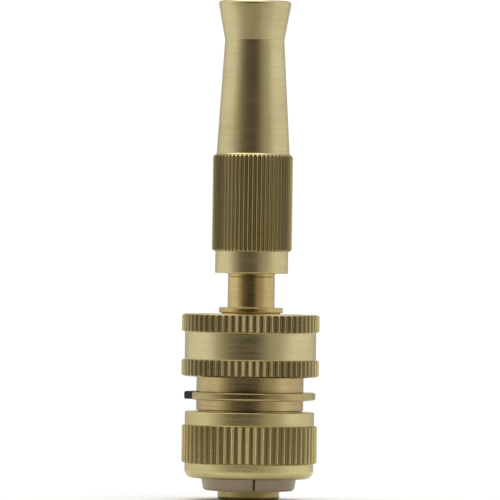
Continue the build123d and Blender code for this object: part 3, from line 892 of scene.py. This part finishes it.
@dataclass
class NozzleStem:
    """The stem: nipple, flange, plain shaft, water holes and pintle, with its seals and clip."""

    bore: float = 2.9
    bore_past_barrel: float = 36.8
    tip_radius: float = 5.64
    tip_length: float = 8.0
    nipple_radius: float = 7.4
    land_length: float = 5.0
    groove_radius: float = 6.2
    groove_length: float = 2.8
    flange_gap: float = 0.3
    flange_radius: float = 8.1
    flange_length: float = 1.4
    shaft_radius: float = 5.96
    mark_depth: float = 0.15
    mark_drop: float = 0.84
    clip_groove: float = 5.51
    clip_wire: float = 0.5
    clip_roundness: float = 0.98
    clip_gap_start: float = 70.0
    clip_gap: float = 40.0
    shank_radius: float = 4.9
    shank_length: float = 11.0
    holes: int = 4
    hole_radius: float = 1.4
    hole_drop: float = 2.8
    neck_radius: float = 2.8
    head_radius: float = 4.6
    head_length: float = 2.1
    nose_radius: float = 3.85
    tip_end: float = 2.0
    taper: float = 5.0
    seal_play: float = 0.32
    nipple_seal_wire: float = 0.85
    nipple_seal_radius: float = 4.84
    pintle_seal_wire: float = 0.9
    pintle_seal_radius: float = 4.3

    def stem(self) -> bpy.types.Object:
        """Turn the stem and drill its water holes."""
        base, top = low("stem"), high("stem")
        shoulder = base + self.tip_length
        groove = shoulder + self.land_length
        flange = high("release_sleeve") + self.flange_gap
        flange_top = flange + self.flange_length
        mark = low("barrel") - self.mark_drop
        clip = low("stop_clip")
        shank_top = self.bore_top + self.hole_drop
        seal = middle("nipple_seal")
        half = self.nipple_seal_wire + self.seal_play
        seal_floor = self.nipple_seal_radius - self.nipple_seal_wire - SEAT_PLAY
        pintle_low = low("pintle_seal") - SEAT_PLAY
        pintle_high = high("pintle_seal") + SEAT_PLAY
        pintle_floor = self.pintle_seal_radius - self.pintle_seal_wire - SEAT_PLAY
        stem = Lathe("turned_stem", 160).turn([
            Corner(self.bore, self.bore_top),
            Corner(self.bore, base, 0.2),
            Corner(self.tip_radius, base, 0.4),
            *notch(self.tip_radius, seal_floor, seal - half, seal + half, 0.1),
            Corner(self.tip_radius, shoulder, 0.2),
            Corner(self.nipple_radius, shoulder, 0.4),
            Corner(self.nipple_radius, groove, 0.15),
            Corner(self.groove_radius, groove, 0.3),
            Corner(self.groove_radius, groove + self.groove_length, 0.3),
            Corner(self.nipple_radius, groove + self.groove_length, 0.15),
            Corner(self.nipple_radius, flange, 0.1, 2),
            Corner(self.flange_radius, flange, 0.25),
            Corner(self.flange_radius, flange_top, 0.3),
            Corner(self.shaft_radius, flange_top, 0.25),
            Corner(self.shaft_radius, mark - self.mark_depth),
            Corner(self.shaft_radius - self.mark_depth, mark),
            Corner(self.shaft_radius, mark + self.mark_depth),
            *notch(self.shaft_radius, self.clip_groove, clip, clip + 2 * self.clip_wire),
            Corner(self.shaft_radius, shank_top - self.shank_length, 0.4),
            Corner(self.shank_radius, shank_top - self.shank_length, 0.2),
            Corner(self.shank_radius, shank_top, 0.3),
            Corner(self.neck_radius, shank_top + self.shank_radius - self.neck_radius, 0.4),
            Corner(self.neck_radius, pintle_low - self.head_length, 0.2),
            Corner(self.head_radius, pintle_low - self.head_length, 0.3),
            Corner(self.head_radius, pintle_low, 0.1, 2),
            Corner(pintle_floor, pintle_low),
            Corner(pintle_floor, pintle_high),
            Corner(self.nose_radius, pintle_high, 0.15),
            Corner(self.nose_radius, top - self.taper, 0.8),
            Corner(self.tip_end, top, 0.4)], closed=False)
        deselect()
        for turn in range(self.holes // 2):
            bpy.ops.mesh.primitive_cylinder_add(
                vertices=32, radius=self.hole_radius * MM, depth=2.4 * self.shank_radius * MM,
                location=(0, 0, (self.bore_top - self.hole_drop) * MM),
                rotation=(math.pi / 2, 0, turn * math.pi / 2))
            drill = bpy.context.object
            bpy.ops.object.transform_apply(location=True, rotation=True)
            cut(stem, drill)
        return tidy_shell(stem)

    @property
    def bore_top(self) -> float:
        """Height of the blind end of the stem's bore, above which the shank is solid."""
        return low("barrel") + self.bore_past_barrel

    def clip(self) -> bpy.types.Object:
        """Wind the round-wire stop clip in its groove."""
        base, thick = low("stop_clip"), 2 * self.clip_wire
        inner = self.clip_groove + SEAT_PLAY
        return split_ring("wire_stop_clip", inner, inner + thick, base, thick,
                          self.clip_wire * self.clip_roundness, self.clip_gap_start,
                          self.clip_gap)

    def dress(self) -> None:
        """Build and finish the stem, its seals and its clip."""
        brass = TurnedBrass("stem_brass", roughness=0.2, marks=0.004, rings=3.0,
                            bright=rgb(0.57, 0.44, 0.195), film=rgb(0.42, 0.315, 0.125))
        dress(self.stem(), brass, Part.STEM, "stem")
        for node, radius, wire in (
                ("nipple_seal", self.nipple_seal_radius, self.nipple_seal_wire),
                ("pintle_seal", self.pintle_seal_radius, self.pintle_seal_wire)):
            ring = seal_ring(node.replace("seal", "o_ring"), radius, middle(node), wire)
            dress(ring, SEAL_RUBBER, Part.STEM, node)
        dress(self.clip(), SPRING_STEEL, Part.STEM, "stop_clip")


@dataclass
class CouplerBody:
    """The coupler's body: skirt, smooth neck and nipple socket, with the rings on it."""

    skirt_radius: float = 13.3
    skirt_bore: float = 11.2
    relief: float = 0.3
    relief_length: float = 0.6
    nut_gap: float = 0.3
    neck_radius: float = 13.6
    neck_length: float = 10.7
    ring_groove: float = 12.95
    wall_radius: float = 11.1
    sleeve_groove: float = 10.3
    socket_bore: float = 7.48
    tip_bore: float = 5.72
    step_height: float = 36.9
    floor_height: float = 28.9
    passage: float = 4.6
    passage_length: float = 2.0
    spigot_bore: float = 6.95
    slots: int = 4
    slot_width: float = 5.16
    slot_play: float = 0.08
    slot_turn: float = 45.0
    slot_overrun: float = 1.0

    def body(self) -> bpy.types.Object:
        """Turn the body and mill the pawls' slots."""
        base, top = low("coupler_body"), high("coupler_body")
        neck = high("compression_nut") + self.nut_gap
        neck_top = neck + self.neck_length
        ring, ring_top = low("snap_ring") - SEAT_PLAY, high("snap_ring") + SEAT_PLAY
        stop, stop_top = low("sleeve_ring") - SEAT_PLAY, high("sleeve_ring") + SEAT_PLAY
        ceiling = high("tail_washer")
        seat = self.floor_height - self.passage_length
        body = Lathe("turned_coupler_body", 180).turn([
            Corner(self.skirt_bore, base, 0.15),
            Corner(self.skirt_radius, base, 0.3),
            Corner(self.skirt_radius, neck - self.relief_length, 0.1, 2),
            Corner(self.skirt_radius - self.relief, neck - self.relief_length),
            Corner(self.skirt_radius - self.relief, neck),
            Corner(self.neck_radius, neck, 0.25),
            *notch(self.neck_radius, self.ring_groove, ring, ring_top, 0.08),
            Corner(self.neck_radius, neck_top, 0.25),
            Corner(self.wall_radius, neck_top, 0.2),
            *notch(self.wall_radius, self.sleeve_groove, stop, stop_top, 0.06),
            Corner(self.wall_radius, top, 0.2),
            Corner(self.socket_bore, top, 0.3),
            Corner(self.socket_bore, self.step_height, 0.2),
            Corner(self.tip_bore, self.step_height, 0.3),
            Corner(self.tip_bore, self.floor_height, 0.2),
            Corner(self.passage, self.floor_height, 0.2),
            Corner(self.passage, seat, 0.1, 2),
            Corner(self.spigot_bore, seat, 0.2),
            Corner(self.spigot_bore, ceiling, 0.2),
            Corner(self.skirt_bore, ceiling, 0.3)])
        pawl_low, pawl_high = low("lock_pawl_1"), high("lock_pawl_1")
        reach = self.socket_bore - self.slot_overrun, self.wall_radius + self.slot_overrun
        slots = spokes(self.slots, self.slot_turn, reach, self.slot_width,
                       (pawl_low - self.slot_play, pawl_high + self.slot_play))
        cut(body, slots)
        return tidy_shell(body)

    def dress(self) -> None:
        """Build and finish the body."""
        brass = TurnedBrass("body_brass", roughness=0.21, marks=0.005, rings=3.4,
                            bright=rgb(0.52, 0.405, 0.195), film=rgb(0.38, 0.285, 0.125))
        dress(self.body(), brass, Part.COUPLER, "coupler_body")


@dataclass
class StopRings:
    """The two split rings on the coupler's body: the thick snap ring and the sleeve ring."""

    snap_inner: float = 12.97
    snap_outer: float = 16.65
    snap_rounding: float = 0.5
    snap_gap_start: float = 180.0
    snap_gap: float = 29.0
    sleeve_inner: float = 10.32
    sleeve_outer: float = 12.9
    sleeve_rounding: float = 0.12
    sleeve_gap_start: float = 0.0
    sleeve_gap: float = 24.0

    def snap_ring(self) -> bpy.types.Object:
        """Spin the snap ring."""
        base = low("snap_ring")
        return split_ring("spring_snap_ring", self.snap_inner, self.snap_outer, base,
                          high("snap_ring") - base, self.snap_rounding, self.snap_gap_start,
                          self.snap_gap)

    def sleeve_ring(self) -> bpy.types.Object:
        """Spin the sleeve's flat stop ring."""
        base = low("sleeve_ring")
        return split_ring("flat_stop_ring", self.sleeve_inner, self.sleeve_outer, base,
                          high("sleeve_ring") - base, self.sleeve_rounding,
                          self.sleeve_gap_start, self.sleeve_gap)

    def dress(self) -> None:
        """Build and finish both rings."""
        ends = (self.snap_gap_start, self.snap_gap_start + self.snap_gap)
        plated = DrawnSteel("ring_steel", plating=rgb(0.42, 0.335, 0.155),
                            bare=rgb(0.14, 0.155, 0.13), roughness=0.2, cut_ends=ends)
        dress(self.snap_ring(), plated, Part.COUPLER, "snap_ring")
        dress(self.sleeve_ring(), SPRING_STEEL, Part.COUPLER, "sleeve_ring")


@dataclass
class ReleaseSleeve:
    """The sleeve with two knurled bands and a brushed waist, and the spring behind it."""

    teeth: int = 60
    root: float = 17.0
    crest: float = 17.45
    bevel: float = 0.34
    low_knurl: float = 4.5
    waist_length: float = 6.7
    waist_radius: float = 16.66
    bore: float = 13.68
    lip_radius: float = 11.18
    lip_length: float = 0.4
    cone_mouth: float = 12.19
    cone_length: float = 3.6
    pocket_radius: float = 13.2
    pocket_depth: float = 1.5
    coil_radius: float = 12.39
    wire: float = 0.5
    coil_turns: float = 3.5
    coil_facets: int = 14
    steps_per_turn: int = 56
    shortest_share: float = 0.56

    def sleeve(self) -> bpy.types.Object:
        """Turn the sleeve, outside and inside."""
        base, top = low("release_sleeve"), high("release_sleeve")
        waist = base + self.low_knurl
        waist_top = waist + self.waist_length
        pocket = top - self.pocket_depth
        cone = pocket - self.cone_length
        lower, upper = (broad_knurl(self.teeth, self.root, self.crest, *edges, self.bevel)
                        for edges in ((base, waist), (waist_top, top)))
        return Lathe("turned_sleeve", self.teeth * lower.columns).turn([
            Corner(self.bore, base, 0.3),
            Corner(self.root - self.bevel, base, 0.05, 2),
            lower,
            Corner(self.waist_radius, waist, 0.04, 2),
            Corner(self.waist_radius, waist_top, 0.04, 2),
            upper,
            Corner(self.root - self.bevel, top, 0.05, 2),
            Corner(self.pocket_radius, top, 0.3),
            Corner(self.pocket_radius, pocket, 0.15),
            Corner(self.cone_mouth, pocket, 0.2),
            Corner(self.lip_radius, cone, 0.3),
            Corner(self.lip_radius, cone - self.lip_length, 0.15),
            Corner(self.bore, cone - self.lip_length, 0.3)])

    def spring(self) -> bpy.types.Object:
        """Wind the release spring as a coil of round wire, and close its ends."""
        base, top = low("release_spring"), high("release_spring")
        deselect()
        bpy.ops.mesh.primitive_circle_add(
            vertices=self.coil_facets, radius=self.wire * MM,
            location=(self.coil_radius * MM, 0, (base + self.wire) * MM),
            rotation=(math.pi / 2, 0, 0))
        bpy.ops.object.transform_apply(location=True, rotation=True)
        coil = named(bpy.context.object, "wound_release_spring")
        steps = round(self.steps_per_turn * self.coil_turns)
        modify(coil, "SCREW", angle=2 * math.pi * self.coil_turns, steps=steps,
               render_steps=steps, screw_offset=(top - base - 2 * self.wire) * MM)
        bpy.ops.object.mode_set(mode="EDIT")
        bpy.ops.mesh.select_mode(type="VERT")
        bpy.ops.mesh.select_all(action="DESELECT")
        bpy.ops.mesh.select_non_manifold()
        bpy.ops.mesh.edge_face_add()
        bpy.ops.object.mode_set(mode="OBJECT")
        return tidy_shell(coil, 50)

    def dress(self) -> None:
        """Build and finish the sleeve and its spring."""
        brass = TurnedBrass("sleeve_brass", roughness=0.25, marks=0.006, rings=1.9,
                            root=self.root, crest=self.crest, groove_shading=1.0)
        dress(self.sleeve(), brass, Part.SLEEVE, "release_sleeve")
        coil = self.spring()
        dress(coil, SPRING_STEEL, Part.COUPLER, "release_spring")
        anchor = (0, 0, low("release_spring") * MM)
        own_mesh(coil)


@dataclass
class LockPawls:
    """The four pawls in the socket's slots, kept as the frame has them."""

    count: int = 4

    def dress(self) -> None:
        """Give the frame's own pawls their steel."""
        for number in range(1, self.count + 1):
            node = f"lock_pawl_{number}"
            pawl = bpy.data.objects[node]
            pawl.data.materials.clear()
            pawl.data.materials.append(DrawnSteel("pawl_steel", roughness=0.32).material())


@dataclass
class CompressionNut:
    """The knurled nut with a plain band above and a rounded one below."""

    teeth: int = 55
    root: float = 16.72
    crest: float = 17.17
    bevel: float = 0.31
    low_band: float = 3.7
    high_band: float = 3.3
    low_radius: float = 16.35
    high_radius: float = 16.42
    rounding: float = 2.0
    mouth: float = 12.37
    mouth_lip: float = 0.6
    cone_radius: float = 13.3
    cone_length: float = 3.5
    bore: float = 13.35

    def nut(self) -> bpy.types.Object:
        """Turn the nut, outside and inside."""
        base, top = low("compression_nut"), high("compression_nut")
        knurl_low, knurl_high = base + self.low_band, top - self.high_band
        cone = base + self.mouth_lip
        band = broad_knurl(self.teeth, self.root, self.crest, knurl_low, knurl_high, self.bevel)
        return Lathe("turned_nut", self.teeth * band.columns).turn([
            Corner(self.mouth, base, 0.25),
            Corner(self.low_radius, base, self.rounding, 10),
            Corner(self.low_radius, knurl_low, 0.05, 2),
            band,
            Corner(self.high_radius, knurl_high, 0.02, 2),
            Corner(self.high_radius, top, 0.3),
            Corner(self.bore, top, 0.25),
            Corner(self.bore, cone + self.cone_length, 0.02, 2),
            Corner(self.cone_radius, cone + self.cone_length, 0.02, 2),
            Corner(self.mouth, cone, 0.3)])

    def dress(self) -> None:
        """Build and finish the nut."""
        brass = TurnedBrass("nut_brass", roughness=0.25, marks=0.005,
                            root=self.root, crest=self.crest, groove_shading=1.0,
                            bright=rgb(0.59, 0.51, 0.25), film=rgb(0.49, 0.41, 0.185))
        dress(self.nut(), brass, Part.NUT, "compression_nut")


@dataclass
class GripCollet:
    """The slit collet that the nut closes on the hose."""

    bore: float = 10.2
    tip_radius: float = 11.5
    tip_rounding: float = 0.9
    mouth_radius: float = 12.07
    mouth_height: float = 3.1
    cone_start: float = 12.13
    cone_lift: float = 3.7
    top_radius: float = 13.0
    cone_end: float = 7.2
    slits: int = 4
    slit_width: float = 0.6
    slit_turn: float = -83.6
    hoop: float = 2.0
    ridges: int = 3
    ridge_pitch: float = 1.6
    ridge_depth: float = 0.3
    saw_overrun: float = 1.0
    edge_break: float = 0.08

    def collet(self) -> bpy.types.Object:
        """Turn the collet with its inner ridges and saw its slits."""
        base, top = low("grip_collet"), high("grip_collet")
        outline = [
            Corner(self.bore, base, 0.3),
            Corner(self.tip_radius, base, self.tip_rounding, 7),
            Corner(self.mouth_radius, base + self.mouth_height, 0.3, 2),
            Corner(self.cone_start, base + self.cone_lift, 0.3, 2),
            Corner(self.top_radius, base + self.cone_end, 0.4, 2),
            Corner(self.top_radius, top, 0.2),
            Corner(self.bore, top, 0.2)]
        for ridge in range(self.ridges, 0, -1):
            valley = base + ridge * self.ridge_pitch
            for side, depth in ((0.25, 0), (0.25, 1), (-0.25, 1), (-0.25, 0)):
                outline.append(Corner(self.bore + depth * self.ridge_depth,
                                      valley + side * self.ridge_pitch, 0.1, 2))
        collet = Lathe("moulded_collet", 180).turn(outline)
        reach = self.bore - self.saw_overrun, self.top_radius + self.saw_overrun
        cut(collet, spokes(self.slits, self.slit_turn, reach, self.slit_width,
                           (base - self.saw_overrun, top - self.hoop)))
        soften(collet, self.edge_break)
        return collet

    def dress(self) -> None:
        """Build and finish the collet."""
        dull = DullMoulding("collet_plastic", rgb(0.40, 0.315, 0.205), rgb(0.29, 0.22, 0.135),
                            roughness=0.36, grain=0.006)
        dress(self.collet(), dull, Part.COLLET, "grip_collet")


@dataclass
class HoseTail:
    """The barbed tail that the hose is pushed on, and its washer."""

    radius: float = 7.86
    bore: float = 5.6
    rounding: float = 0.9
    first_land: float = 3.4
    barbs: int = 3
    barb_depth: float = 0.66
    ramp: float = 2.6
    land: float = 1.0
    flange_radius: float = 9.6
    flange_height: float = 16.4
    flange_length: float = 1.6
    spigot: float = 6.9
    washer_inner: float = 6.95
    washer_outer: float = 9.4

    def tail(self) -> bpy.types.Object:
        """Turn the tail with its barbs."""
        base, top = low("hose_tail"), high("hose_tail")
        root = self.radius - self.barb_depth
        flange_top = self.flange_height + self.flange_length
        outline = [
            Corner(self.bore, base, 0.35),
            Corner(self.radius, base, self.rounding, 7),
            Corner(self.radius, base + self.first_land, 0.1, 2)]
        for barb in range(self.barbs):
            start = base + self.first_land + barb * (self.ramp + self.land)
            outline += [
                Corner(root, start, 0.1, 2),
                Corner(self.radius, start + self.ramp, 0.1, 2),
                Corner(self.radius, start + self.ramp + self.land, 0.1, 2)]
        outline += [
            Corner(root, base + self.first_land + self.barbs * (self.ramp + self.land), 0.1, 2),
            Corner(root, self.flange_height, 0.3),
            Corner(self.flange_radius, self.flange_height, 0.2),
            Corner(self.flange_radius, flange_top, 0.2),
            Corner(self.spigot, flange_top, 0.1, 2),
            Corner(self.spigot, top, 0.3),
            Corner(self.bore, top, 0.2)]
        return Lathe("barbed_tail", 128).turn(outline)

    def washer(self) -> bpy.types.Object:
        """Turn the flat washer, its edges rounded as a moulded one's are."""
        base, top = low("tail_washer"), high("tail_washer")
        return Lathe("flat_washer", 96).turn([
            Corner(self.washer_inner, base, 0.15, 2),
            Corner(self.washer_outer, base, 0.2, 3),
            Corner(self.washer_outer, top, 0.2, 3),
            Corner(self.washer_inner, top, 0.15, 2)])

    def dress(self) -> None:
        """Build and finish the tail and its washer."""
        brass = TurnedBrass("tail_brass", roughness=0.26, marks=0.006,
                            bright=rgb(0.36, 0.285, 0.12), film=rgb(0.26, 0.20, 0.08))
        dress(self.tail(), brass, Part.COUPLER, "hose_tail")
        dress(self.washer(), SEAL_RUBBER, Part.COUPLER, "tail_washer")


# ---------------------------------------------------------------- studio


@dataclass
class Studio:
    """A pale floor, a room of soft panels that is dim in front, and the camera.

    panels gives the room's brightness by the angle from the front, in degrees to the right.
    """

    floor_radius: float = 0.13
    panels: tuple[tuple[float, float], ...] = (
        (-180, 1.03), (-173, 1.03), (-166, 0.55), (-150, 0.6), (-132, 0.9), (-105, 1.0),
        (-78, 1.0), (-52, 0.42), (-35, 0.12), (-4, 0.04), (14, 0.07), (32, 0.44), (52, 0.54),
        (74, 1.0), (105, 1.0), (132, 0.9), (150, 0.6), (166, 0.55), (173, 1.03), (180, 1.03))
    overhead: float = 1.0
    below: float = 0.45
    lamp_power: float = 14.0
    lamp_size: float = 1.6
    lamp_height: float = 1.9
    camera_place: tuple[float, float, float] = (-0.00046, -1.556, 0.06335)
    camera_roll: float = 0.8
    lens: float = 441.8
    sensor: float = 36.0

    def floor(self) -> None:
        """Lay the floor."""
        deselect()
        bpy.ops.mesh.primitive_circle_add(vertices=128, radius=self.floor_radius,
                                          fill_type="NGON", location=(0, 0, -0.00005))
        floor = named(bpy.context.object, "studio_floor")
        bpy.ops.object.transform_apply(location=True)
        paper = DullMoulding("floor_paper", rgb(0.93, 0.93, 0.925), rgb(0.90, 0.90, 0.895),
                             roughness=0.75, grain=0.01)
        floor.data.materials.append(paper.material())

    def light(self) -> None:
        """Fill the room with light that is dimmer in front, and hang a soft lamp above."""
        world = bpy.data.worlds.new("studio_room")
        bpy.context.scene.world = world
        world.use_nodes = True
        graph = Graph(world.node_tree)
        split = graph.node("SeparateXYZ", Vector=graph.node("TexCoord").outputs["Generated"])
        x, y, z = (Signal(graph.tree, s) for s in split.outputs)
        round_room = x.angle_from(y * -1) / (2 * math.pi) + 0.5
        stops = [(angle / 360 + 0.5, level / 2) for angle, level in self.panels]
        walls = graph.signal("ValToRGB", settings={"stops": stops}, Fac=round_room) * 2
        steep = graph.step(z, 0.5, 0.82) + graph.step(z * -1, 0.12, 0.22) * self.below
        level = walls + steep * (self.overhead - walls)
        tint = graph.mix(level, rgb(1.0, 0.87, 0.66), rgb(1, 1, 1))
        surround = graph.node("Background", Color=tint, Strength=level)
        graph.node("OutputWorld", Surface=surround.outputs[0])
        lamp = bpy.data.lights.new("soft_lamp", "AREA")
        lamp.energy = self.lamp_power
        lamp.size = self.lamp_size
        above = bpy.data.objects.new("soft_lamp", lamp)
        above.location = (-0.3, 0.2, self.lamp_height)
        bpy.context.scene.collection.objects.link(above)

    def camera(self) -> None:
        """Set the camera in front, as far away as a long lens needs."""
        eye = bpy.data.cameras.new("camera")
        eye.lens = self.lens
        eye.sensor_width = self.sensor
        eye.clip_end = 50
        stand = bpy.data.objects.new("camera", eye)
        level = Matrix.Rotation(math.pi / 2, 4, "X")
        roll = Matrix.Rotation(math.radians(self.camera_roll), 4, "Z")
        stand.matrix_world = Matrix.Translation(self.camera_place) @ level @ roll
        bpy.context.scene.collection.objects.link(stand)
        bpy.context.scene.camera = stand

    def build(self) -> None:
        """Set everything up."""
        self.floor()
        self.light()
        self.camera()
        bpy.context.scene.view_settings.view_transform = "Standard"


def main() -> None:
    """Build and dress every sub-assembly, then set up the studio."""
    logging.basicConfig(level=logging.INFO, format="%(name)s: %(message)s")
    for assembly in (TwistBarrel(), NozzleStem(), CouplerBody(), StopRings(), ReleaseSleeve(),
                     LockPawls(), CompressionNut(), GripCollet(), HoseTail()):
        assembly.dress()
        log.info("%s done", type(assembly).__name__)
    Studio().build()


if __name__ == "__main__":
    main()
